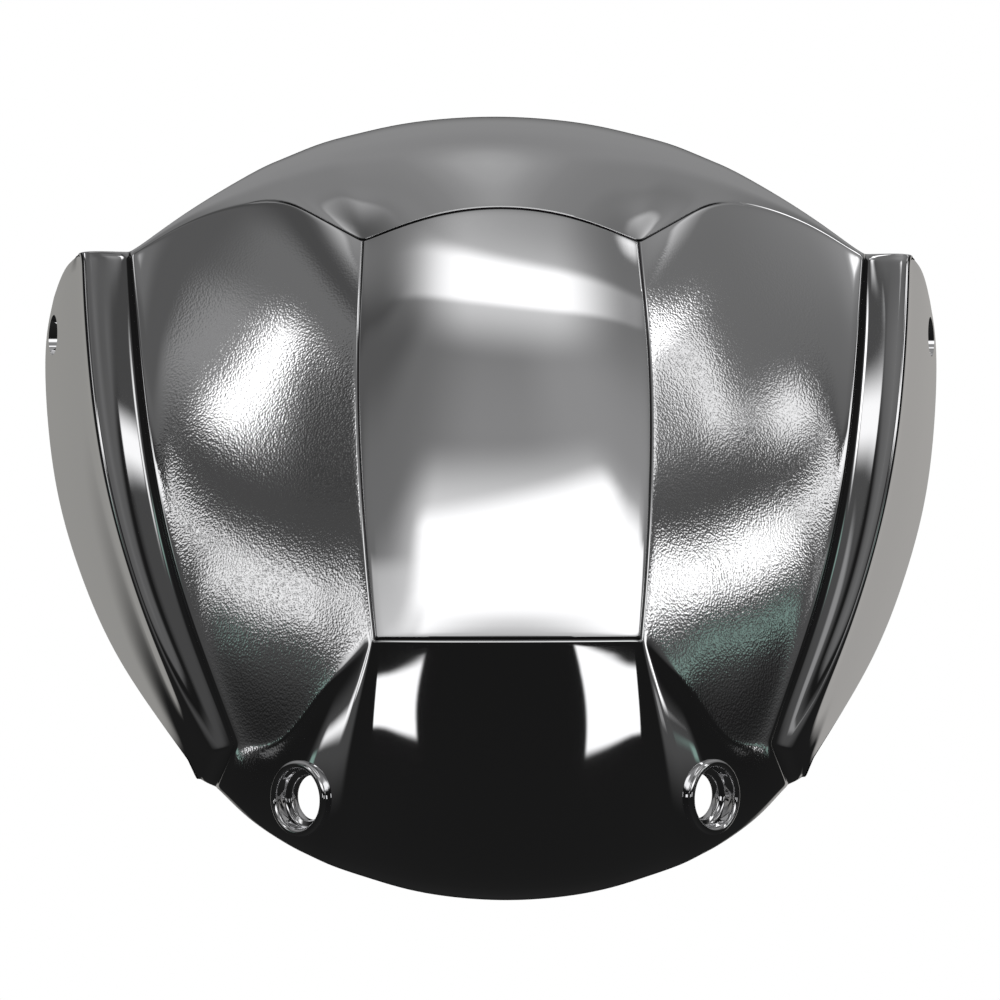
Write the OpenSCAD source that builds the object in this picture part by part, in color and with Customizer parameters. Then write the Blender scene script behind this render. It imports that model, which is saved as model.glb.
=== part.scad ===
// Headlight cowl: one moulded, plated shell that is open at the back.
// Upright as fitted: +Z up, the front faces -Y, X runs across. Millimetres.
// Origin: the middle of the axis that runs through both side holes.

/* [Shell] */
// Width across the side walls
cowl_w = 194; // [150:1:240]
// Height from the lower rim to the top of the band
cowl_h = 155; // [120:1:190]
// Depth from the lower apron to the back of the side walls
cowl_d = 90; // [70:1:110]
// Wall thickness
wall = 2.8; // [2:0.1:4]
// Half the width of a rounded crease between two panels
crease_r = 1.6; // [1:0.1:3]

/* [Edges] */
// How far the fine bead beside each side strip stands up
bead_rise = 0.7; // [0:0.1:1.5]
// How far each side strip is sunk below the flank
strip_sink = 0.9; // [0:0.1:2]
// How far the rounded ridge outside each strip stands up
ridge_rise = 1.8; // [0:0.1:3]
// How far the top band turns back behind its outline
top_turn = 8; // [4:0.5:14]
// How far the lower rim turns back
rim_turn = 7; // [4:0.5:12]

/* [Side holes] */
// Diameter of the hole through each side wall
side_hole_d = 8.5; // [5:0.1:10]
// Distance of the side holes from the back of the walls
side_hole_inset = 8.5; // [7:0.5:14]
// Height of the side holes above the lowest point of the rim
side_hole_z = 110; // [90:1:120]

/* [Screw seats] */
// Diameter of the through hole in each lower seat
seat_hole_d = 8.5; // [5:0.1:9]
// Diameter of the recess around the hole
seat_recess_d = 11.4; // [9:0.1:13]
// Outer diameter of the raised lip
seat_lip_d = 14.4; // [13:0.1:18]
// How far the lip stands out of the apron
seat_lip_rise = 1.1; // [0.5:0.1:2]
// Depth of the recess below the lip
seat_recess_h = 3.2; // [2:0.1:5]
// Thickness of the floor that the screw head sits on
seat_floor = 2; // [1.5:0.1:4]

/* [Hidden] */
$fn = 64;
plating = [0.78, 0.79, 0.80];

// The right-hand half of each section, from the middle line out to the back edge of the
// side wall: middle, panel corner, two flank points, strip edge, ridge foot, wall start,
// wall back. Each point is half-width, distance back from the front, height.
nominal = [192.8, 88.1, 152.5]; // overall size that the sections below give by themselves
outline_top = [[0, 64, 154.5], [36, 62, 148.5], [49.5, 60, 142.5], [63.5, 55.6, 133.5],
    [74.5, 54.4, 125], [83, 58, 125.5], [86, 61, 125], [87, 64, 124.5]];
upper_crease = [[0, 38.5, 133], [27.5, 40.4, 126], [45.5, 51.2, 136.5], [62.4, 53.4, 131.7],
    [74.2, 53.2, 123.9], [82.7, 57.2, 124.2], [85.5, 60.5, 122.5], [94, 83, 117.5]];
upper_panel = [[0, 27.8, 116], [28, 32, 113.5], [43.5, 42, 120], [59.5, 46, 115.5],
    [73, 49.7, 112], [81.5, 55, 112], [85, 58.5, 112], [97, 89.5, 108]];
eye_line = [[0, 19.8, 101], [28.5, 24.2, 100], [42.5, 33.1, 101], [57.5, 39.8, 97.5],
    [71, 45.2, 93.5], [79.5, 50.5, 93.5], [83, 54, 93.5], [96, 87.5, 90.5]];
mid_panel = [[0, 12.7, 84.5], [28, 16.9, 84.5], [41.5, 25.6, 82.5], [56, 33.9, 79.5],
    [68, 40.7, 76], [76, 46, 76], [79.5, 49.5, 76], [93, 82, 74]];
lower_panel = [[0, 7.7, 69.5], [27, 11.3, 70], [40, 19.6, 65.5], [53, 28.3, 61.5],
    [63.5, 35.7, 59], [71, 41, 59], [74, 44.5, 59], [87, 74.5, 58]];
chin = [[0, 4.8, 58.5], [26, 8, 58.5], [38, 15.6, 53], [49.5, 23.4, 45],
    [58, 30.8, 44.5], [64.5, 35.5, 44], [67.5, 39, 43], [78.5, 62, 42]];
lower_crease = [[0, 2.9, 49.5], [25, 5.5, 49.5], [35, 12, 39.5], [42.5, 18, 28],
    [51.5, 25, 28.5], [54, 27.5, 27.5], [59.5, 32.5, 25.5], [62, 36.5, 24.5]];
lower_rim = [[0, 0.8, 1], [32.5, 7, 7], [41, 15, 10], [49, 22.5, 14],
    [55.5, 30, 19.5], [57, 32, 20], [59, 34, 21], [60, 35, 21]];
// How much the apron bulges forward between its crease and its rim, at the same points
apron_crown = [0.3, 1.6, 2.4, 1.8, 0.5, 0, 0, 0];
roll_lead = 0.6; // lean of the top band where it leaves the crease: 0 upright, 1 flat
wall_crown = 0.8; // bulge of a side wall at half its depth
bead_step = 1.8; // from the strip's edge in to the foot of its bead
sink_step = 1.5; // from the strip's edge out to the sunk floor
wall_step = 2.5; // from the wall's front corner back to where it runs straight
full_strip = 8; // a strip this wide or wider has its full relief
full_ridge = 4.5; // a ridge this wide or wider has its full rise
full_wall = 30; // a wall this deep or deeper has its full crown
rim_pull = 1; // how far the apron's lines run forward of the rim point
last = 7; // index of the outermost point of a section

function scale_of(i) = [cowl_w, cowl_d, cowl_h][i] / nominal[i];
function fitted(p) = [p.x * scale_of(0), p.y * scale_of(1), p.z * scale_of(2)];
function mix(a, b, t) = a + (b - a) * t;
function unit(v) = norm(v) < 0.001 ? [0, 0, 0] : v / norm(v);
// A point at distance d from a towards b, and always before the middle.
function step_to(a, b, d) = a + unit(b - a) * min(d, norm(b - a) * 0.45);
function clamp(t, lo, hi) = max(lo, min(hi, t));

// Rows of the net. The turned edges fade out towards the side walls.
function turned(row, d) = [for (p = row)
    p + [0, d * (1 - pow(p.x / row[last].x, 4)), 0]];
function stepped(a, b, d) = [for (i = [0:last]) step_to(a[i], b[i], d)];
// The top band leaves the crease at a slope and bends over until it runs level.
function rolled(t) = let (up = 2 * t - t * t, back = 2 * t * (1 - t) * roll_lead + t * t)
    [for (i = [0:last]) let (c = upper_crease[i], o = outline_top[i])
        [mix(c.x, o.x, t), mix(c.y, o.y, back), mix(c.z, o.z, up)]];
function apron(t) = [for (i = [0:last])
    mix(lower_crease[i], lower_rim[i] - [0, rim_pull, 0], t) - [0, apron_crown[i] * 4 * t * (1 - t), 0]];

rows = [
    turned(outline_top, top_turn),
    turned(outline_top, top_turn * 0.5),
    outline_top,
    rolled(0.66),
    rolled(0.33),
    stepped(upper_crease, rolled(0.33), crease_r),
    upper_crease,
    stepped(upper_crease, upper_panel, crease_r),
    upper_panel,
    eye_line,
    mid_panel,
    lower_panel,
    chin,
    stepped(lower_crease, chin, crease_r),
    lower_crease,
    stepped(lower_crease, apron(0.25), crease_r),
    apron(0.25),
    apron(0.5),
    apron(0.75),
    apron(0.93),
    lower_rim,
    turned(lower_rim, rim_turn * 0.5),
    turned(lower_rim, rim_turn)
];

// A row's eight points become the columns of the net. A close group of three makes a crease,
// and the group opens out over the rows where the panel's corner line ends.
side = unit([0.65, -0.76, 0]);
corner_open = [16, 16, 16, 12, 8, 4, 0, 0, 0, 0, 0, 0, 0, 0, 0, 3, 8, 12, 14, 14, 14, 14, 14];
function columns(p, open) = let (
        centre = mix(p[0], p[1], 0.5) - [0, p[1].y - p[0].y, p[1].z - p[0].z] * 0.25,
        strip = clamp(norm(p[5] - p[4]) / full_strip, 0, 1),
        ridge = clamp(norm(p[6] - p[5]) / full_ridge, 0, 1) * strip,
        depth = clamp(norm(p[7] - p[6]) / full_wall, 0, 1))
    [p[0],
    centre,
    step_to(p[1], centre, crease_r + open * 0.5),
    p[1],
    step_to(p[1], p[2], crease_r + open * 0.3),
    mix(p[1], p[2], 0.55 + open * 0.01),
    p[2],
    p[3],
    step_to(p[4], p[3], bead_step),
    p[4] + side * bead_rise * strip,
    step_to(p[4], p[5], sink_step) - side * strip_sink * strip,
    mix(p[4], p[5], 0.5) - side * strip_sink * strip,
    p[5] - side * strip_sink * 0.6 * strip,
    mix(p[5], p[6], 0.5) + side * ridge_rise * ridge,
    p[6],
    step_to(p[6], p[7], wall_step),
    mix(p[6], p[7], 0.5) + [wall_crown * depth, 0, 0],
    p[7]];
half = 17; // net columns on each side of the middle one
function across(row, open) = let (c = [for (p = columns(row, open)) fitted(p)])
    [for (i = [-half:half]) [sign(i) * c[abs(i)].x, c[abs(i)].y, c[abs(i)].z]];
top_row = len(rows) - 1;
net = [for (j = [0:top_row]) across(rows[j], corner_open[j])];

// The inner net lies one wall thickness behind the outer one. Across the panels it follows
// their slope. From the side strips outward it keeps to one direction, so that the thin
// ends at the shoulder and the lower tip stay sound.
lift = [-0.9, -0.9, -0.9, -0.9, -0.9, -0.9, -0.85, -0.7, -0.3, 0, 0, 0, 0.3, 0.65, 0.8,
    0.8, 0.8, 0.8, 0.8, 0.8, 0.8, 0.8, 0.8];
function at(j, i) = net[clamp(j, 0, top_row)][clamp(i, 0, 2 * half)];
function slope_in(j, i) = unit(cross(at(j, i + 2) - at(j, i - 2), at(j + 2, i) - at(j - 2, i)));
function strip_in(j, i) = let (k = abs(i - half), t = clamp((k - 13) / 2, 0, 1))
    [-sign(i - half) * mix(0.8, 1, t), mix(0.6, 0.15, t), lift[j]];
function inward(j, i) = let (k = abs(i - half))
    mix(slope_in(j, i), strip_in(j, i), clamp((k - 7) / 2, 0, 1));
inner_net = [for (j = [0:top_row]) [for (i = [0:2 * half]) at(j, i) + inward(j, i) * wall]];

// Cubic B-spline through a list of points; the list's ends are kept.
function weights(t) = [pow(1 - t, 3), 3 * pow(t, 3) - 6 * t * t + 4,
    -3 * pow(t, 3) + 3 * t * t + 3 * t + 1, pow(t, 3)] / 6;
function held(list, k) = let (n = len(list) - 1)
    k < 0 ? 2 * list[0] - list[1] : k > n ? 2 * list[n] - list[n - 1] : list[k];
function spline(list, u) = let (i = min(floor(u), len(list) - 2), w = weights(u - i))
    w[0] * held(list, i - 1) + w[1] * held(list, i) + w[2] * held(list, i + 1)
    + w[3] * held(list, i + 2);
function surface_point(mesh, v, u) =
    spline([for (i = [0:2 * half]) spline([for (r = mesh) r[i]], v)], u);

// Long spans of the net are sampled twice, short ones once.
long_columns = [0, 1, 4, 5, 6, 7, 10, 12, 13, 15, 16];
long_rows = [2, 3, 4, 7, 8, 9, 10, 11, 12, 15, 16, 17, 18, 19];
half_stops = [for (i = [0:half - 1]) each (len(search(i, long_columns)) > 0 ? [i, i + 0.5] : [i])];
u_stops = concat([-half], [for (k = [len(half_stops) - 1:-1:1]) -half_stops[k]], half_stops, [half]);
v_stops = concat([for (j = [0:top_row - 1]) each
    (len(search(j, long_rows)) > 0 ? [j, j + 0.5] : [j])], [top_row]);
function skin(mesh) = let (tall = [for (v = v_stops)
        [for (i = [0:2 * half]) spline([for (r = mesh) r[i]], v)]])
    [for (r = tall) [for (u = u_stops) spline(r, u + half)]];

outer = skin(net);
inner = skin(inner_net);
nu = len(u_stops);
nv = len(v_stops);
points = [for (r = concat(outer, inner)) each r];
back = max([for (p = points) p.y]);
bottom = min([for (p = points) p.z]);
hole_axis = [0, back - side_hole_inset, bottom + side_hole_z];

// Two triangles for the cell right of and below point (j, i) of layer k, mirrored about the
// middle line so that both halves facet alike.
function id(k, j, i) = k * nu * nv + j * nu + i;
function quad(a, b, c, d, flip) = flip ? [[a, b, d], [b, c, d]] : [[a, b, c], [a, c, d]];
function turned_over(faces) = [for (f = faces) [f[2], f[1], f[0]]];
function layer(k) = [for (j = [0:nv - 2]) for (i = [0:nu - 2])
    each quad(id(k, j, i), id(k, j, i + 1), id(k, j + 1, i + 1), id(k, j + 1, i), i < nu / 2 - 1)];
function ring() = concat([for (i = [0:nu - 1]) [0, i]], [for (j = [1:nv - 1]) [j, nu - 1]],
    [for (i = [nu - 2:-1:0]) [nv - 1, i]], [for (j = [nv - 2:-1:1]) [j, 0]]);
function rim_faces() = let (r = ring(), n = len(r))
    [for (k = [0:n - 1]) let (a = r[k], b = r[(k + 1) % n])
        each quad(id(0, a[0], a[1]), id(1, a[0], a[1]), id(1, b[0], b[1]), id(0, b[0], b[1]), false)];

module shell() {
    translate(-hole_axis)
        polyhedron(points, concat(layer(0), turned_over(layer(1)), rim_faces()), convexity = 8);
}

// Seats stand square to the apron at a place on the net.
seat_place = [17.73, half + 5.8];
function seat_point(v, u) = surface_point(net, v, u) - hole_axis;
seat_pos = seat_point(seat_place[0], seat_place[1]);
seat_axis = unit(cross(
    seat_point(seat_place[0] + 0.5, seat_place[1]) - seat_point(seat_place[0] - 0.5, seat_place[1]),
    seat_point(seat_place[0], seat_place[1] + 0.5) - seat_point(seat_place[0], seat_place[1] - 0.5)));
lip_round = (seat_lip_d - seat_recess_d) / 4;
seat_back = seat_lip_rise - seat_recess_h - seat_floor;
clear = 6; // how far the seat cutters run past the wall

module at_seat(s) {
    mirror([s < 0 ? 1 : 0, 0, 0])
        translate(seat_pos)
            rotate([0, acos(seat_axis.z), atan2(seat_axis.y, seat_axis.x)]) children();
}

module seat_cup() {
    rotate_extrude() {
        translate([0, seat_back]) square([seat_lip_d / 2, seat_lip_rise - lip_round - seat_back]);
        square([seat_lip_d / 2 - lip_round, seat_lip_rise]);
        translate([seat_lip_d / 2 - lip_round, seat_lip_rise - lip_round]) circle(lip_round, $fn = 24);
    }
}

module seat_cut() {
    translate([0, 0, seat_lip_rise - seat_recess_h]) cylinder(d = seat_recess_d, h = seat_recess_h + clear);
    translate([0, 0, seat_back - clear]) cylinder(d = seat_hole_d, h = seat_floor + 2 * clear);
}

module side_cut() {
    rotate([0, 90, 0]) cylinder(d = side_hole_d, h = cowl_w + 2, center = true);
}

module cowl() {
    color(plating) difference() {
        resize([cowl_w, cowl_d, cowl_h]) union() {
            shell();
            for (s = [-1, 1]) at_seat(s) seat_cup();
        }
        for (s = [-1, 1]) at_seat(s) seat_cut();
        side_cut();
    }
}

cowl();
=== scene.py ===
import math

import bmesh
import bpy
import numpy as np
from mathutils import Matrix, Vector
from mathutils.bvhtree import BVHTree
from mathutils.interpolate import poly_3d_calc
from mathutils.kdtree import KDTree


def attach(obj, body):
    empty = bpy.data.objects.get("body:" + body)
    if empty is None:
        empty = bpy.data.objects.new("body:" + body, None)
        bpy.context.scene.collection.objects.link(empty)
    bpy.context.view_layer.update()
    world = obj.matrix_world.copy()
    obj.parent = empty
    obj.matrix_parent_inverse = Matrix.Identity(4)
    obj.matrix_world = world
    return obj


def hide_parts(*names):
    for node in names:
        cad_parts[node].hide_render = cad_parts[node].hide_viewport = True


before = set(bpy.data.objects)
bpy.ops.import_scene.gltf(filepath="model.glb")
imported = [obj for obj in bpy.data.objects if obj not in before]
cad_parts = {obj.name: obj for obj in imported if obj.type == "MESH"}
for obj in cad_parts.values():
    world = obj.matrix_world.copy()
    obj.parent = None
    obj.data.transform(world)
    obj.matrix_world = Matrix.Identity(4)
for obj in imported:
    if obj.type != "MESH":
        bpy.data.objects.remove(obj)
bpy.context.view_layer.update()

MM = 0.001

# Driving sizes of the cowl, in millimetres, as the part has them.
COWL_W, COWL_D, COWL_H = 194.0, 90.0, 155.0
WALL = 2.8
CREASE_R = 1.6
BEAD_RISE, STRIP_SINK, RIDGE_RISE = 0.7, 0.9, 1.8
TOP_TURN, RIM_TURN = 8.0, 7.0
WALL_CROWN = 0.8
ROLL_LEAD = 0.6
SIDE_HOLE_D, SIDE_HOLE_INSET, SIDE_HOLE_Z = 8.5, 8.5, 110.0
SEAT_HOLE_D, SEAT_RECESS_D, SEAT_LIP_D = 8.5, 11.4, 14.4
SEAT_LIP_RISE, SEAT_RECESS_H, SEAT_FLOOR = 1.1, 3.2, 2.0
SEAT_PLACE = (17.73, 5.8)  # row of the net, and column on its right-hand half

# Steps beside the creases, and the gaps at which a strip, a ridge or a wall is in full form.
BEAD_STEP, SINK_STEP, WALL_STEP = 1.8, 1.5, 2.5
FULL_STRIP, FULL_RIDGE, FULL_WALL = 8, 4.5, 30
RIM_PULL = 1

# What only the visual has.
EDGE_R, EDGE_STEPS = 0.7, 4         # rounding of the back edge
LINE_DEPTH, LINE_WIDTH = 0.3, 0.24  # fine lines along the creases of the middle panel
ACROSS_WIDER = 1.1                  # how much wider the two lines that run across are
PRESSED = 0.004                     # deeper than this, a point belongs to a fine line
OPENING_IN = 0.5                    # the openings for the seats end this far inside the lips
SEAT_CUT, PAST_WALL = 24, 3         # length of a seat's cutter, and how far the bore's runs past
SEAT_EASE, SEAT_BREAK = 0.4, 0.3    # rounding of the seats' floors and backs, and of their holes

# The visual's mesh.
INSIDE = 0.03    # how far it stays inside the part's box
SPACING = 1.75   # between its points, which stand closer beside the fine lines
LINE_STOPS = 8   # on each side of a fine line, within half a span of the net
STOP_GRADE = 1.4  # how much closer they stand towards the line
HALF = 17        # middle column of the net
TOP_LINE, LOW_LINE, SIDE_LINE = 6.0, 14.0, 3.0  # crease rows, and column from the middle
LINE_FADE = 0.3  # how gently the lines end, in rows or columns
TOP_LINE_END, TOP_LINE_FADE = 6.4, 1.2
SIDE_WAY = (0.65, -0.76, 0.0)  # out of the right-hand side strip

# Half sections from the middle line to the back edge of a side wall, with the names that the
# part gives them. Each point is half-width, distance back from the front, height.
OUTLINE_TOP = [[0, 64, 154.5], [36, 62, 148.5], [49.5, 60, 142.5], [63.5, 55.6, 133.5],
               [74.5, 54.4, 125], [83, 58, 125.5], [86, 61, 125], [87, 64, 124.5]]
UPPER_CREASE = [[0, 38.5, 133], [27.5, 40.4, 126], [45.5, 51.2, 136.5], [62.4, 53.4, 131.7],
                [74.2, 53.2, 123.9], [82.7, 57.2, 124.2], [85.5, 60.5, 122.5], [94, 83, 117.5]]
UPPER_PANEL = [[0, 27.8, 116], [28, 32, 113.5], [43.5, 42, 120], [59.5, 46, 115.5],
               [73, 49.7, 112], [81.5, 55, 112], [85, 58.5, 112], [97, 89.5, 108]]
EYE_LINE = [[0, 19.8, 101], [28.5, 24.2, 100], [42.5, 33.1, 101], [57.5, 39.8, 97.5],
            [71, 45.2, 93.5], [79.5, 50.5, 93.5], [83, 54, 93.5], [96, 87.5, 90.5]]
MID_PANEL = [[0, 12.7, 84.5], [28, 16.9, 84.5], [41.5, 25.6, 82.5], [56, 33.9, 79.5],
             [68, 40.7, 76], [76, 46, 76], [79.5, 49.5, 76], [93, 82, 74]]
LOWER_PANEL = [[0, 7.7, 69.5], [27, 11.3, 70], [40, 19.6, 65.5], [53, 28.3, 61.5],
               [63.5, 35.7, 59], [71, 41, 59], [74, 44.5, 59], [87, 74.5, 58]]
CHIN = [[0, 4.8, 58.5], [26, 8, 58.5], [38, 15.6, 53], [49.5, 23.4, 45],
        [58, 30.8, 44.5], [64.5, 35.5, 44], [67.5, 39, 43], [78.5, 62, 42]]
LOWER_CREASE = [[0, 2.9, 49.5], [25, 5.5, 49.5], [35, 12, 39.5], [42.5, 18, 28],
                [51.5, 25, 28.5], [54, 27.5, 27.5], [59.5, 32.5, 25.5], [62, 36.5, 24.5]]
LOWER_RIM = [[0, 0.8, 1], [32.5, 7, 7], [41, 15, 10], [49, 22.5, 14],
             [55.5, 30, 19.5], [57, 32, 20], [59, 34, 21], [60, 35, 21]]
APRON_CROWN = [0.3, 1.6, 2.4, 1.8, 0.5, 0, 0, 0]

# For each row of the net: how far the crease at the panel's side opens out, and how far the
# inner skin lifts from the strips outward.
CORNER_OPEN = [16, 16, 16, 12, 8, 4] + [0] * 9 + [3, 8, 12, 14, 14, 14, 14, 14]
LIFT = [-0.9] * 6 + [-0.85, -0.7, -0.3, 0, 0, 0, 0.3, 0.65] + [0.8] * 9


# Small helpers.

def unit(v):
    length = np.linalg.norm(v, axis=-1, keepdims=True)
    return v / np.maximum(length, 1e-9)


def mix(a, b, t):
    return a + (b - a) * t


def fade(t):
    """Smooth step from 0 to 1."""
    t = np.clip(t, 0, 1)
    return t * t * (3 - 2 * t)


def step_to(a, b, d):
    """A point at distance d from a towards b, and always before the middle."""
    gap = np.linalg.norm(b - a)
    return a + unit(b - a) * min(d, gap * 0.45)


def line_of(section):
    return np.array(section, float)


# The net of sections.

def turned(row, d):
    """A row moved back at the middle, fading out towards the side walls."""
    out = row.copy()
    out[:, 1] += d * (1 - (row[:, 0] / row[-1, 0]) ** 4)
    return out


def rolled(t):
    """The top band leaves the crease at a slope and bends over until it runs level."""
    up = 2 * t - t * t
    back = 2 * t * (1 - t) * ROLL_LEAD + t * t
    crease, top = line_of(UPPER_CREASE), line_of(OUTLINE_TOP)
    return np.stack([mix(crease[:, k], top[:, k], way) for k, way in enumerate((t, back, up))], 1)


def apron(t):
    row = mix(line_of(LOWER_CREASE), line_of(LOWER_RIM) - [0, RIM_PULL, 0], t)
    row[:, 1] -= np.array(APRON_CROWN) * 4 * t * (1 - t)
    return row


def stepped(a, b, d):
    return np.array([step_to(p, q, d) for p, q in zip(a, b)])


def make_rows():
    top, crease, panel = line_of(OUTLINE_TOP), line_of(UPPER_CREASE), line_of(UPPER_PANEL)
    chin, low, rim = line_of(CHIN), line_of(LOWER_CREASE), line_of(LOWER_RIM)
    band = [turned(top, TOP_TURN), turned(top, TOP_TURN * 0.5), top, rolled(0.66), rolled(0.33)]
    upper = [stepped(crease, rolled(0.33), CREASE_R), crease, stepped(crease, panel, CREASE_R)]
    front = [panel, line_of(EYE_LINE), line_of(MID_PANEL), line_of(LOWER_PANEL), chin]
    lower = [stepped(low, chin, CREASE_R), low, stepped(low, apron(0.25), CREASE_R)]
    skirt = [apron(t) for t in (0.25, 0.5, 0.75, 0.93)]
    return band + upper + front + lower + skirt \
        + [rim, turned(rim, RIM_TURN * 0.5), turned(rim, RIM_TURN)]


def columns(p, opened):
    """The eight points of a row become eighteen columns of the net."""
    side = unit(np.array(SIDE_WAY))
    centre = mix(p[0], p[1], 0.5)
    centre[1:] -= (p[1] - p[0])[1:] * 0.25
    strip = min(np.linalg.norm(p[5] - p[4]) / FULL_STRIP, 1)
    ridge = min(np.linalg.norm(p[6] - p[5]) / FULL_RIDGE, 1) * strip
    depth = min(np.linalg.norm(p[7] - p[6]) / FULL_WALL, 1)
    sunk = side * STRIP_SINK * strip
    return [p[0],
            centre,
            step_to(p[1], centre, CREASE_R + opened * 0.5),
            p[1],
            step_to(p[1], p[2], CREASE_R + opened * 0.3),
            mix(p[1], p[2], 0.55 + opened * 0.01),
            p[2],
            p[3],
            step_to(p[4], p[3], BEAD_STEP),
            p[4] + side * BEAD_RISE * strip,
            step_to(p[4], p[5], SINK_STEP) - sunk,
            mix(p[4], p[5], 0.5) - sunk,
            p[5] - sunk * 0.6,
            mix(p[5], p[6], 0.5) + side * RIDGE_RISE * ridge,
            p[6],
            step_to(p[6], p[7], WALL_STEP),
            mix(p[6], p[7], 0.5) + np.array([WALL_CROWN * depth, 0, 0]),
            p[7]]


def make_net(size):
    """Rows and columns of the outer skin, mirrored about the middle line."""
    net = []
    for row, opened in zip(make_rows(), CORNER_OPEN):
        right = np.array(columns(row, opened)) * size
        left = right[:0:-1] * [-1, 1, 1]
        net.append(np.concatenate([left, right]))
    return np.array(net)


def make_inner(net):
    """The net moved in by the wall: square to the panels, and one way from the strips outward."""
    rows, cols = net.shape[:2]
    out = net.copy()
    for j in range(rows):
        for i in range(cols):
            across = net[j, min(i + 2, cols - 1)] - net[j, max(i - 2, 0)]
            down = net[min(j + 2, rows - 1), i] - net[max(j - 2, 0), i]
            slope = unit(np.cross(across, down))
            k = abs(i - HALF)
            t = min(max((k - 13) / 2, 0), 1)
            strip = np.array([-np.sign(i - HALF) * mix(0.8, 1, t), mix(0.6, 0.15, t), LIFT[j]])
            out[j, i] += mix(slope, strip, min(max((k - 7) / 2, 0), 1)) * WALL
    return out


# The smooth skin over the net.

def basis(u, n):
    """Matrix of cubic B-spline weights at the places u on a list of n points."""
    m = np.zeros((len(u), n))
    for r, x in enumerate(u):
        i = min(int(math.floor(x)), n - 2)
        t = x - i
        w = np.array([(1 - t) ** 3, 3 * t ** 3 - 6 * t * t + 4,
                      -3 * t ** 3 + 3 * t * t + 3 * t + 1, t ** 3]) / 6
        for k, wk in zip(range(i - 1, i + 3), w):
            if k < 0:
                m[r, 0] += 2 * wk
                m[r, 1] -= wk
            elif k > n - 1:
                m[r, n - 1] += 2 * wk
                m[r, n - 2] -= wk
            else:
                m[r, k] += wk
    return m


def surface(net, v, u):
    """Points of the skin at rows v and columns u of the net."""
    bv, bu = basis(v, net.shape[0]), basis(u, net.shape[1])
    return np.einsum("vj,jic,ui->vuc", bv, net, bu)


def stops(net, axis, fine):
    """Places along the net: three or more in every span, and closer about the fine lines."""
    gaps = np.linalg.norm(np.diff(net, axis=axis), axis=2)
    longest = gaps.max(axis=1 - axis)
    out = set()
    for k, gap in enumerate(longest):
        n = max(3, int(math.ceil(gap / SPACING)))
        out.update(round(k + q / n, 4) for q in range(n))
    for k in fine:
        out = {x for x in out if abs(x - k) > 0.5}
        for q in range(LINE_STOPS + 1):
            away = 0.5 * (q / LINE_STOPS) ** STOP_GRADE
            out.update((round(k - away, 4), round(k + away, 4)))
    return np.array(sorted(out | {float(len(longest))}))


def normals_of(net, v, u, step=0.02):
    """Unit normals of the skin."""
    last_v, last_u = net.shape[0] - 1, net.shape[1] - 1
    dv = surface(net, np.clip(v + step, 0, last_v), u) - surface(net, np.clip(v - step, 0, last_v), u)
    du = surface(net, v, np.clip(u + step, 0, last_u)) - surface(net, v, np.clip(u - step, 0, last_u))
    return unit(np.cross(dv, du))


def scored(points, normals, v, u):
    """Press the fine lines into the outer skin along the creases of the middle panel, and give their
    depth, from 0 to 1, as the mask for the shade painted into them.
    """
    k = np.abs(u - HALF)[None, :]
    v = v[:, None]
    pitch_u = np.linalg.norm(np.gradient(points, axis=1), axis=2) / np.gradient(u)[None, :]
    pitch_v = np.linalg.norm(np.gradient(points, axis=0), axis=2) / np.gradient(v[:, 0])[:, None]
    on_side = fade((v - TOP_LINE) / LINE_FADE + 0.5) * fade((LOW_LINE - v) / LINE_FADE + 0.5)
    on_top = fade((TOP_LINE_END - k) / TOP_LINE_FADE)
    on_low = fade((SIDE_LINE - k) / LINE_FADE + 0.5)
    deep = np.zeros_like(pitch_u)
    for away, reach, width in (((k - SIDE_LINE) * pitch_u, on_side, LINE_WIDTH),
                               ((v - TOP_LINE) * pitch_v, on_top, LINE_WIDTH * ACROSS_WIDER),
                               ((v - LOW_LINE) * pitch_v, on_low, LINE_WIDTH * ACROSS_WIDER)):
        deep = np.maximum(deep, LINE_DEPTH * reach * np.exp(-(away / width) ** 2))
    return points - normals * deep[..., None], deep / LINE_DEPTH


# The shell: outer grid, inner grid and a rounded edge.

def edge_ring(nv, nu):
    """Places of a grid's edge, in order."""
    return ([(0, i) for i in range(nu)] + [(j, nu - 1) for j in range(1, nv)]
            + [(nv - 1, i) for i in range(nu - 2, -1, -1)] + [(j, 0) for j in range(nv - 2, 0, -1)])


def rounded_edge(a, b, into, r):
    """Points and normals from a to b, with both corners rounded. The skin runs on that way."""
    points, normals = [], []
    over = unit(b - a)
    for corner, way, turn in ((a, over, range(1, EDGE_STEPS + 1)),
                              (b, -over, range(EDGE_STEPS, 0, -1))):
        for q in turn:
            t = math.radians(90 * q / EDGE_STEPS)
            points.append(corner + way * r * (1 - math.cos(t)) + into * r * (1 - math.sin(t)))
            normals.append(-way * math.cos(t) - into * math.sin(t))
    return points, normals


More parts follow.
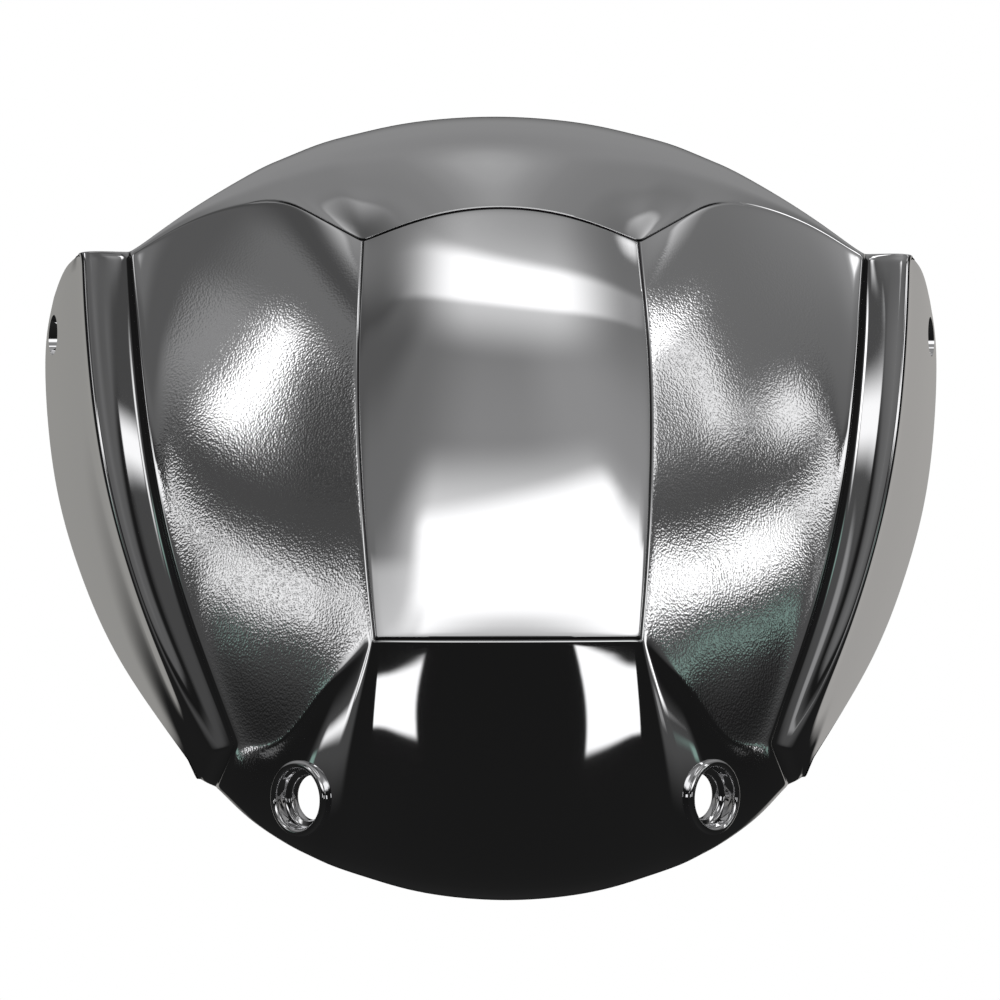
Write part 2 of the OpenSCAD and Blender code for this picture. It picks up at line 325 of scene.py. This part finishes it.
class Skin:
    """Outer and inner skin on one grid, with the middle of the side holes' axis at the origin."""

    def __init__(self):
        size = np.ones(3)
        for _ in range(2):  # the first pass measures, and the second has the part's size
            self.net = make_net(size)
            inner_net = make_inner(self.net)
            self.v = stops(self.net, 0, (TOP_LINE, LOW_LINE))
            self.u = stops(self.net, 1, (HALF - SIDE_LINE, HALF + SIDE_LINE))
            smooth, inner = surface(self.net, self.v, self.u), surface(inner_net, self.v, self.u)
            both = np.concatenate([smooth.reshape(-1, 3), inner.reshape(-1, 3)])
            reach = both.max(0) - both.min(0)
            size = size * (np.array([COWL_W, COWL_D, COWL_H]) - 2 * INSIDE) / reach
        self.hole_axis = np.array([0, both[:, 1].max() + INSIDE - SIDE_HOLE_INSET,
                                   both[:, 2].min() - INSIDE + SIDE_HOLE_Z])
        self.n_outer = normals_of(self.net, self.v, self.u)
        self.n_inner = -normals_of(inner_net, self.v, self.u)
        # the fine lines' depth is kept as the mask for the shade painted into them
        outer, self.seam = scored(smooth, self.n_outer, self.v, self.u)
        self.outer, self.inner = outer - self.hole_axis, inner - self.hole_axis
        if self.n_outer[len(self.v) // 2, len(self.u) // 2, 1] > 0:
            self.n_outer, self.n_inner = -self.n_outer, -self.n_inner
        pressed = np.linalg.norm(smooth - outer, axis=-1, keepdims=True)
        self.n_outer = np.where(pressed > PRESSED, self.line_normals(), self.n_outer)

    def line_normals(self):
        """Normals of the scored skin, from its own points."""
        dv, du = np.gradient(self.outer, axis=0), np.gradient(self.outer, axis=1)
        n = unit(np.cross(dv, du))
        return n * np.sign((n * self.n_outer).sum(-1, keepdims=True))

    def mesh(self):
        """Points, normals and faces of the closed shell."""
        nv, nu = self.outer.shape[:2]
        ring = edge_ring(nv, nu)
        outer, inner = self.outer.copy(), self.inner.copy()
        edge, edge_n = [], []
        for j, i in ring:
            jn, im = min(max(j, 1), nv - 2), min(max(i, 1), nu - 2)
            a, b = self.outer[j, i], self.inner[j, i]
            into = unit((self.outer[jn, im] - a) + (self.inner[jn, im] - b))
            r = min(EDGE_R, np.linalg.norm(b - a) * 0.4)
            outer[j, i], inner[j, i] = a + into * r, b + into * r
            points, normals = rounded_edge(a, b, into, r)
            edge += points
            edge_n += normals
        points = np.concatenate([outer.reshape(-1, 3), inner.reshape(-1, 3), np.array(edge)])
        normals = np.concatenate([self.n_outer.reshape(-1, 3), self.n_inner.reshape(-1, 3),
                                  np.array(edge_n)])
        return points, normals, self.faces(ring)

    def faces(self, ring):
        nv, nu = self.outer.shape[:2]
        ids = np.arange(nv * nu).reshape(nv, nu)
        quads = np.stack([ids[:-1, :-1], ids[:-1, 1:], ids[1:, 1:], ids[1:, :-1]], -1).reshape(-1, 4)
        faces = [quads[:, ::-1], quads + nv * nu]
        first = np.array([ids[j, i] for j, i in ring])
        per_place = 2 * EDGE_STEPS
        lanes = [2 * nv * nu + np.arange(len(ring)) * per_place + q for q in range(per_place)]
        lanes = [first] + lanes + [first + nv * nu]
        for one, two in zip(lanes, lanes[1:]):
            faces.append(np.stack([one, np.roll(one, -1), np.roll(two, -1), two], -1))
        return np.concatenate(faces)

    def seats(self):
        """Centre and outward axis of both seats."""
        v, u = SEAT_PLACE[0], HALF + SEAT_PLACE[1]

        def spot(dv, du):
            return surface(self.net, [v + dv], [u + du])[0, 0]

        axis = unit(np.cross(spot(0.5, 0) - spot(-0.5, 0), spot(0, 0.5) - spot(0, -0.5)))
        if axis[1] > 0:
            axis = -axis
        at = spot(0, 0) - self.hole_axis
        return [(at * [s, 1, 1], axis * [s, 1, 1]) for s in (-1, 1)]


# Round solids: the cutters and the seats.

def new_mesh(name, points, polys):
    me = bpy.data.meshes.new(name)
    me.from_pydata((np.asarray(points) * MM).tolist(), [], [list(map(int, f)) for f in polys])
    me.update()
    ob = bpy.data.objects.new(name, me)
    bpy.context.scene.collection.objects.link(ob)
    return ob


def spokes(axis, around):
    """Unit vectors square to the axis, all the way round."""
    one = unit(np.cross(axis, [0, 0, 1.0]))
    two = np.cross(one, axis)
    t = np.linspace(0, 2 * math.pi, around, endpoint=False)
    return np.cos(t)[:, None] * one + np.sin(t)[:, None] * two


def lathe(profile, at, axis, around=96):
    """Points and faces of a closed ring of revolution."""
    profile = np.array(profile)
    spoke = spokes(axis, around)
    points = at + spoke[:, None, :] * profile[None, :, 0:1] + axis * profile[None, :, 1:2]
    grid = np.arange(around * len(profile)).reshape(around, len(profile))
    nxt, far = np.roll(grid, -1, 0), np.roll(grid, -1, 1)
    both = np.roll(nxt, -1, 1)
    return points.reshape(-1, 3), np.stack([grid, nxt, both, far], -1).reshape(-1, 4)


def cylinder(at, axis, r, h, around=128):
    spoke = spokes(axis, around)
    low, high = at + spoke * r - axis * h / 2, at + spoke * r + axis * h / 2
    k = np.arange(around)
    walls = [[a, (a + 1) % around, (a + 1) % around + around, a + around] for a in k]
    return np.concatenate([low, high]), walls + [list(k[::-1]), list(k + around)]


def half_round(r0, z0, radius, n=12):
    turns = [math.radians(180 * q / n) for q in range(n + 1)]
    return [(r0 + radius * math.cos(t), z0 + radius * math.sin(t)) for t in turns]


def seat_profile():
    """Section of a seat, as radius and height along its axis: lip, recess, floor, hole, back."""
    lip, recess, hole = SEAT_LIP_D / 2, SEAT_RECESS_D / 2, SEAT_HOLE_D / 2
    lip_round = (lip - recess) / 2
    floor = SEAT_LIP_RISE - SEAT_RECESS_H
    back = floor - SEAT_FLOOR
    e, b = SEAT_EASE * 0.3, SEAT_BREAK * 0.3
    return [(lip, back + SEAT_EASE), (lip, 0.0),
            *half_round(lip - lip_round, SEAT_LIP_RISE - lip_round, lip_round),
            (recess, 0.0), (recess, floor + SEAT_EASE), (recess - e, floor + e),
            (recess - SEAT_EASE, floor),
            (hole + SEAT_BREAK, floor), (hole + b, floor - b), (hole, floor - SEAT_BREAK),
            (hole, back + SEAT_BREAK), (hole + b, back + b), (hole + SEAT_BREAK, back),
            (lip - SEAT_EASE, back), (lip - e, back + e)]


# The cowl as one mesh.

def outward(ob):
    bm = bmesh.new()
    bm.from_mesh(ob.data)
    bmesh.ops.recalc_face_normals(bm, faces=bm.faces)
    bm.to_mesh(ob.data)
    bm.free()


def cut_openings(shell, seats):
    """The shell with the openings for both seats and the bore through both side walls."""
    rods = [(at, axis, SEAT_LIP_D / 2 - OPENING_IN, SEAT_CUT) for at, axis in seats]
    rods.append((np.zeros(3), np.array([1.0, 0, 0]), SIDE_HOLE_D / 2, COWL_W + 2 * PAST_WALL))
    cutters = [new_mesh("cut", *cylinder(*rod)) for rod in rods]
    for cut in cutters:
        outward(cut)
        mod = shell.modifiers.new("cut", "BOOLEAN")
        mod.operation = "DIFFERENCE"
        mod.solver = "MANIFOLD"
        mod.object = cut
    outward(shell)
    deps = bpy.context.evaluated_depsgraph_get()
    cut_mesh = bpy.data.meshes.new_from_object(shell.evaluated_get(deps))
    shell.modifiers.clear()
    for cut in cutters:
        bpy.data.objects.remove(cut)
    return cut_mesh


def add_seats(shell, cut_mesh, seats):
    """Join the cut shell and the seats, and say how many of the faces are the shell's."""
    bm = bmesh.new()
    bm.from_mesh(cut_mesh)
    n_shell_faces = len(bm.faces)
    for at, axis in seats:
        points, polys = lathe(seat_profile(), at, axis)
        corners = [bm.verts.new(Vector(p * MM)) for p in points]
        for f in polys:
            bm.faces.new([corners[k] for k in f])
    bm.normal_update()
    bm.to_mesh(shell.data)
    bm.free()
    return n_shell_faces


def read(items, name, width=1, kind=float):
    """One property of all the items, as an array."""
    out = np.zeros(len(items) * width, kind)
    items.foreach_get(name, out)
    return out.reshape(-1, width) if width > 1 else out


def follow_skin(mesh, n_shell_faces, points, normals, faces):
    """For each point of the shell, the nearest point of the uncut skin. Also the normals of
    all the mesh's points, which on the shell are the uncut skin's."""
    kd = KDTree(len(points))
    for k, p in enumerate(points * MM):
        kd.insert(p, k)
    kd.balance()
    bvh = BVHTree.FromPolygons((points * MM).tolist(), faces.tolist())
    co = read(mesh.vertices, "co", 3)
    totals = read(mesh.polygons, "loop_total", kind=int)
    loop_v = read(mesh.loops, "vertex_index", kind=int)
    point_n = np.array([tuple(x.vector) for x in mesh.vertex_normals])
    nearest = {}
    for k in np.unique(loop_v[:totals[:n_shell_faces].sum()]):
        at = Vector(co[k])
        _, near, gap = kd.find(at)
        nearest[k] = near
        if gap < 1e-6:
            point_n[k] = normals[near]
            continue
        spot, _, face, _ = bvh.find_nearest(at)
        ids = faces[face]
        w = poly_3d_calc([Vector(points[q] * MM) for q in ids], spot)
        point_n[k] = unit((np.array(w)[:, None] * normals[ids]).sum(0))
    return nearest, point_n


def in_bore(corners, face_n):
    """Whether a face belongs to a side hole: its corners lie on the bore, and it looks square
    to the bore's axis."""
    off = np.abs(np.hypot(corners[:, 1], corners[:, 2]) - SIDE_HOLE_D / 2)
    return abs(face_n[0]) < 0.15 and np.all(off < 0.02)


def shade_smooth(mesh, n_shell_faces, point_n):
    """Smooth shading with the points' normals, and with the bore's own in the side holes."""
    co = read(mesh.vertices, "co", 3)
    starts = read(mesh.polygons, "loop_start", kind=int)
    totals = read(mesh.polygons, "loop_total", kind=int)
    face_n = read(mesh.polygons, "normal", 3)
    loop_v = read(mesh.loops, "vertex_index", kind=int)
    loop_n = point_n[loop_v]
    for f in range(n_shell_faces):
        own = slice(starts[f], starts[f] + totals[f])
        corners = co[loop_v[own]] / MM
        if in_bore(corners, face_n[f]):
            loop_n[own] = unit(corners * [0, -1, -1])
    mesh.polygons.foreach_set("use_smooth", np.ones(len(mesh.polygons), bool))
    mesh.normals_split_custom_set(loop_n.tolist())


def grain_mask(skin):
    """Where the flanks are grained, from 0 to 1, by row and column. The grain starts beside the
    middle panel and below the upper crease. It ends on a slant before the side strip, and its
    lower edge drops towards the outside."""
    v, k = skin.v[:, None], np.abs(skin.u - HALF)[None, :]
    outer_edge = 7.1 + 0.38 * (v - 6.9) + 1.2 * fade((v - 9.2) / 0.7)
    lower_edge = 13.2 + 4.4 * fade((k - 5.0) / 1.9)
    return (fade((k - 3.15) / 0.35) * fade((outer_edge - k) / 0.35 + 0.5)
            * fade((8.6 - k) / 0.3) * fade((v - 6.9) / 1.6) * fade((lower_edge - v) / 0.6 + 0.5))


def paint(mesh, name, grid, nearest):
    """Keep a mask of the outer skin on the mesh's points."""
    flat = grid.reshape(-1)
    values = np.zeros(len(mesh.vertices), np.float32)
    for k, near in nearest.items():
        if near < len(flat):
            values[k] = flat[near]
    mesh.attributes.new(name, "FLOAT", "POINT").data.foreach_set("value", values)


# Node trees and chrome.

CHROME = (0.80, 0.80, 0.81, 1)
# painted shade: the fine lines along the creases are coloured near black, standing in for the shade
# inside them
CREASE_SHADE_COLOUR = (0.02, 0.02, 0.02, 1)
POLISH, GRAIN_ROUGH = 0.03, 0.05
GRAIN_STRENGTH, GRAIN_HEIGHT = 0.15, 0.09 * MM
GRAIN_CELLS, GRAIN_FOLDS = 2300.0, 1600.0  # to the metre


class Nodes:
    """A node tree, with short ways to add to it."""

    def __init__(self, tree):
        self.tree = tree
        tree.nodes.clear()

    def add(self, kind, **settings):
        node = self.tree.nodes.new(kind)
        for name, value in settings.items():
            setattr(node, name, value)
        return node

    def feed(self, socket, source):
        """Give a socket a constant or another node's output."""
        if isinstance(source, bpy.types.NodeSocket):
            self.tree.links.new(source, socket)
        else:
            socket.default_value = source

    def calc(self, operation, *values):
        node = self.add("ShaderNodeMath", operation=operation)
        for socket, value in zip(node.inputs, values):
            self.feed(socket, value)
        return node.outputs[0]

    def blend(self, mask, under, over):
        """Colour that goes from one to the other with the mask."""
        node = self.add("ShaderNodeMix", data_type="RGBA")
        for k, source in ((0, mask), (6, under), (7, over)):
            self.feed(node.inputs[k], source)
        return node.outputs[2]


def leather(tree, grain):
    """Normals of small cells with finer folds, as strong as the grain mask says."""
    place = tree.add("ShaderNodeTexCoord").outputs["Object"]
    cells = tree.add("ShaderNodeTexVoronoi", feature="SMOOTH_F1")
    cells.inputs["Scale"].default_value = GRAIN_CELLS
    cells.inputs["Smoothness"].default_value = 0.6
    tree.feed(cells.inputs["Vector"], place)
    folds = tree.add("ShaderNodeTexNoise")
    folds.inputs["Scale"].default_value = GRAIN_FOLDS
    folds.inputs["Detail"].default_value = 2.0
    tree.feed(folds.inputs["Vector"], place)
    fine = tree.calc("MULTIPLY", folds.outputs[0], 0.7)
    bump = tree.add("ShaderNodeBump")
    bump.inputs["Distance"].default_value = GRAIN_HEIGHT
    tree.feed(bump.inputs["Strength"], tree.calc("MULTIPLY", grain, GRAIN_STRENGTH))
    tree.feed(bump.inputs["Height"], tree.calc("ADD", cells.outputs["Distance"], fine))
    return bump.outputs[0]


def chrome_material():
    """Chrome with leather grain where the grain mask says, and painted shade, near black, along the
    fine lines of the creases by their mask.
    """
    mat = bpy.data.materials.new("chrome")
    mat.use_nodes = True
    tree = Nodes(mat.node_tree)
    metal = tree.add("ShaderNodeBsdfPrincipled")
    grain = tree.add("ShaderNodeAttribute", attribute_name="grain").outputs["Fac"]
    seam = tree.add("ShaderNodeAttribute", attribute_name="seam").outputs["Fac"]
    metal.inputs["Metallic"].default_value = 1.0
    # painted shade: the base colour goes near black along the fine lines of the creases
    tree.feed(metal.inputs["Base Color"], tree.blend(seam, CHROME, CREASE_SHADE_COLOUR))
    tree.feed(metal.inputs["Roughness"], tree.calc("MULTIPLY_ADD", grain, GRAIN_ROUGH, POLISH))
    tree.feed(metal.inputs["Normal"], leather(tree, grain))
    tree.feed(tree.add("ShaderNodeOutputMaterial").inputs[0], metal.outputs[0])
    return mat


def build_cowl():
    skin = Skin()
    points, normals, faces = skin.mesh()
    seats = skin.seats()
    shell = new_mesh("cowl", points, faces)
    n_shell_faces = add_seats(shell, cut_openings(shell, seats), seats)
    nearest, point_n = follow_skin(shell.data, n_shell_faces, points, normals, faces)
    shade_smooth(shell.data, n_shell_faces, point_n)
    paint(shell.data, "grain", grain_mask(skin), nearest)
    # mask of the fine lines, by which shade is painted into them
    paint(shell.data, "seam", skin.seam, nearest)
    shell.data.materials.clear()
    shell.data.materials.append(chrome_material())
    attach(shell, "root")
    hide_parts("cowl")


# Studio light. Plain light by height: degrees up, brightness.
SKY = ((-90, 0.02), (-5, 0.012), (12, 0.01), (17, 0.012), (20, 0.13), (24, 0.16), (40, 0.17),
       (60, 0.18), (66, 0.24), (71, 0.25), (76, 0.27), (81, 0.33), (85, 0.41), (90, 0.45))
GREEN = (0.24, 0.36, 0.32)
# Soft panels by direction, in degrees: to the right of straight in front, up, half width, half
# height, softness, turn. The last value is the brightness or colour.
LIGHTS = (
    # high behind, seen in the top band
    (180, 54, 78, 22, 16, 0, 0.30),
    # dim room low on both sides
    (-72, 12, 13, 13, 5, 0, 0.07),
    (72, 12, 13, 13, 5, 0, 0.08),
    # plain wall in front, seen in the middle panel
    (16, 46, 34, 13, 14, 0, 0.28),
    (28, 45, 12, 13, 9, 0, 0.32),
    # darker parts on the left
    (-43, 40, 8, 20, 5, 0, 0.11),
    (-60, 57, 12, 4, 3, 0, 0.08),
    (-78, 36, 3, 14, 2, 0, 0.05),
    # large light in front, seen low in the middle panel, with its glow
    (2, 24, 30, 4.5, 1.5, 0, 0.50),
    (5, 31, 26, 9, 5, 0, 0.80),
    (9, 26, 25, 3.6, 1.2, 0, 1.3),
    (6, 31.5, 25, 5.6, 2, 5, 1.4),
    # pair of windows, seen in the apron
    (-18.5, 5.4, 5, 3.2, 0.4, 0, 1.3),
    (20.5, 5.2, 5.5, 4.0, 0.4, 0, 1.3),
    # lights for the left flank
    (-55, 32, 5, 8, 4, 0, 0.30),
    (-66, 32, 3.2, 8, 2.5, 0, 2.0),
    (-77.5, 10.5, 2, 4, 1.8, 0, 1.2),
    # lights for the right flank
    (77, 34, 2.6, 8, 2, 0, 1.1),
    (77, 51, 3.6, 9, 2.5, 0, 2.2),
    (68, 23.5, 4, 3, 2, 0, 1.1),
    (80.5, 12.5, 2.5, 3.5, 1.5, 0, 1.8),
    # narrow lights for the side strips, and a dim one low on the right
    (-66, 13.6, 8, 1.1, 0.8, 18, 1.2),
    (68, 14.8, 9, 1.5, 1.0, -16, 1.2),
    (68, 7.5, 4, 2, 1, 0, 0.3),
    # greenish lights low on both sides
    (-83, 4, 2, 1.5, 1, 0, GREEN),
    (83, 4, 2, 1.5, 1, 0, GREEN),
    # pale walls behind, seen in the side walls
    (-151, 0, 17, 22, 5, 0, (0.33, 0.325, 0.31)),
    (146, 0, 17, 22, 5, 0, (0.40, 0.39, 0.375)))
# Level panels overhead, the light's glow and the light itself: to the right and to the front
# for each unit up, half width, half depth, softness across, softness in depth, bow, brightness.
CEILING = ((0.08, 0.49, 0.34, 0.11, 0.16, 0.11, 0.6, 0.75),
           (0.08, 0.46, 0.37, 0.055, 0.18, 0.015, 0.6, 1.4))


def plain_light(tree, up):
    """Colour of the plain light at so many degrees up."""
    ramp = tree.add("ShaderNodeValToRGB")
    tree.feed(ramp.inputs[0], tree.calc("MULTIPLY_ADD", up, 1 / 180, 0.5))
    marks = ramp.color_ramp.elements
    while len(marks) > 1:
        marks.remove(marks[-1])
    for k, (angle, level) in enumerate(SKY):
        at = angle / 180 + 0.5
        mark = marks[0] if k == 0 else marks.new(at)
        mark.position = at
        mark.color = (level, level, level, 1)
    return ramp.outputs[0]


def soft_panel(tree, under, sides, tint, limit=None):
    """Lay a panel over the colour under it. Each of its two sides has the distance from the
    panel's middle line, the half size and the softness. The limit masks where it may show."""
    mask = limit
    for away, half, soft in sides:
        edge = tree.add("ShaderNodeMapRange", interpolation_type="SMOOTHSTEP")
        edge.inputs["From Min"].default_value = half + soft
        edge.inputs["From Max"].default_value = half - soft
        tree.feed(edge.inputs["Value"], tree.calc("ABSOLUTE", away))
        mask = edge.outputs[0] if mask is None else tree.calc("MULTIPLY", mask, edge.outputs[0])
    colour = tint if isinstance(tint, tuple) else (tint,) * 3
    return tree.blend(mask, under, (*colour, 1))


def panel_by_direction(tree, under, across, up, light):
    at_across, at_up, half_w, half_h, soft, turn, tint = light
    c, s = math.cos(math.radians(turn)), math.sin(math.radians(turn))
    dx = tree.calc("SUBTRACT", across, at_across)
    if abs(at_across) > 90:  # the directions behind meet at half a turn
        dx = tree.calc("WRAP", dx, 180.0, -180.0)
    dy = tree.calc("SUBTRACT", up, at_up)
    p = tree.calc("ADD", tree.calc("MULTIPLY", dx, c), tree.calc("MULTIPLY", dy, s))
    q = tree.calc("SUBTRACT", tree.calc("MULTIPLY", dy, c), tree.calc("MULTIPLY", dx, s))
    return soft_panel(tree, under, ((p, half_w, soft), (q, half_h, soft)), tint)


def panel_overhead(tree, under, direction, light):
    x, y, z = direction
    right, front, half_w, half_d, soft_w, soft_d, bow, level = light
    high = tree.calc("MAXIMUM", z, 0.05)
    p = tree.calc("SUBTRACT", tree.calc("DIVIDE", x, high), right)
    q = tree.calc("SUBTRACT", tree.calc("MULTIPLY", tree.calc("DIVIDE", y, high), -1.0), front)
    q = tree.calc("ADD", q, tree.calc("MULTIPLY", tree.calc("MULTIPLY", p, p), bow))
    sides = ((p, half_w, soft_w), (q, half_d, soft_d))
    return soft_panel(tree, under, sides, level, limit=tree.calc("GREATER_THAN", z, 0.1))


def studio_world():
    world = bpy.data.worlds.new("studio")
    bpy.context.scene.world = world
    world.use_nodes = True
    tree = Nodes(world.node_tree)
    split = tree.add("ShaderNodeSeparateXYZ")
    tree.feed(split.inputs[0], tree.add("ShaderNodeTexCoord").outputs["Generated"])
    x, y, z = split.outputs
    degrees = 180 / math.pi
    turn = tree.calc("ARCTAN2", x, tree.calc("MULTIPLY", y, -1.0))
    across = tree.calc("MULTIPLY", turn, degrees)
    up = tree.calc("MULTIPLY", tree.calc("ARCSINE", z), degrees)
    colour = plain_light(tree, up)
    for light in LIGHTS:
        colour = panel_by_direction(tree, colour, across, up, light)
    for light in CEILING:
        colour = panel_overhead(tree, colour, (x, y, z), light)
    ground = tree.add("ShaderNodeBackground")
    tree.feed(ground.inputs[0], colour)
    tree.feed(tree.add("ShaderNodeOutputWorld").inputs[0], ground.outputs[0])


# Soft lamp in front and above, in millimetres and watts. Reflections leave it out.
KEY_PLACE = (200.0, -500.0, 1400.0)
KEY_SIZE, KEY_WATTS = 1200.0, 12.0


def key_lamp():
    data = bpy.data.lights.new("key", "AREA")
    data.shape = "SQUARE"
    data.size = KEY_SIZE * MM
    data.energy = KEY_WATTS
    lamp = bpy.data.objects.new("key", data)
    bpy.context.scene.collection.objects.link(lamp)
    lamp.location = Vector(KEY_PLACE) * MM
    lamp.rotation_euler = (-lamp.location).to_track_quat("-Z", "Y").to_euler()
    lamp.visible_glossy = False


# Round pale floor that sweeps up into a backdrop on every side, in millimetres.
FLOOR_R, FLOOR_BEND, WALL_TOP, FLOOR_SIDES = 1500.0, 300.0, 2600.0, 96


def pale_material():
    mat = bpy.data.materials.new("floor")
    mat.use_nodes = True
    pale = mat.node_tree.nodes["Principled BSDF"]
    pale.inputs["Base Color"].default_value = (0, 0, 0, 1)
    pale.inputs["Roughness"].default_value = 0.9
    pale.inputs["Specular IOR Level"].default_value = 0.0
    pale.inputs["Emission Color"].default_value = (1, 1, 1, 1)
    pale.inputs["Emission Strength"].default_value = 1.0
    return mat


def studio_stage():
    bend = [math.radians(a) for a in range(0, 91, 6)]
    line = [(FLOOR_R + FLOOR_BEND * math.sin(a), -SIDE_HOLE_Z + FLOOR_BEND * (1 - math.cos(a)))
            for a in bend] + [(FLOOR_R + FLOOR_BEND, WALL_TOP)]
    turns = [2 * math.pi * k / FLOOR_SIDES for k in range(FLOOR_SIDES)]
    points = [(r * math.cos(t), r * math.sin(t), z) for r, z in line for t in turns]
    polys = [list(range(FLOOR_SIDES))]
    for k in range(len(line) - 1):
        for m in range(FLOOR_SIDES):
            a, b = k * FLOOR_SIDES + m, k * FLOOR_SIDES + (m + 1) % FLOOR_SIDES
            polys.append([a, b, b + FLOOR_SIDES, a + FLOOR_SIDES])
    stage = new_mesh("studio_floor", points, polys)
    stage.data.polygons.foreach_set("use_smooth", [True] * len(stage.data.polygons))
    stage.data.materials.append(pale_material())
    stage.visible_glossy = False
    stage.visible_shadow = False


# Camera: level, in front and a little to the left. Millimetres, and a turn in degrees.
CAM_AIM = (-0.8, -57.0, -35.2)
CAM_DISTANCE, CAM_TURN = 550.5, 2.0
CAM_SENSOR, CAM_LENS = 36.0, 102.0


def studio_camera():
    data = bpy.data.cameras.new("camera")
    data.sensor_width = CAM_SENSOR
    data.lens = CAM_LENS
    cam = bpy.data.objects.new("camera", data)
    bpy.context.scene.collection.objects.link(cam)
    bpy.context.scene.camera = cam
    turn = math.radians(CAM_TURN)
    ahead = Vector((math.sin(turn), math.cos(turn), 0))
    cam.location = (Vector(CAM_AIM) - ahead * CAM_DISTANCE) * MM
    cam.rotation_euler = (math.radians(90), 0, -turn)


build_cowl()
studio_world()
studio_stage()
key_lamp()
studio_camera()
bpy.context.scene.view_settings.view_transform = "Standard"

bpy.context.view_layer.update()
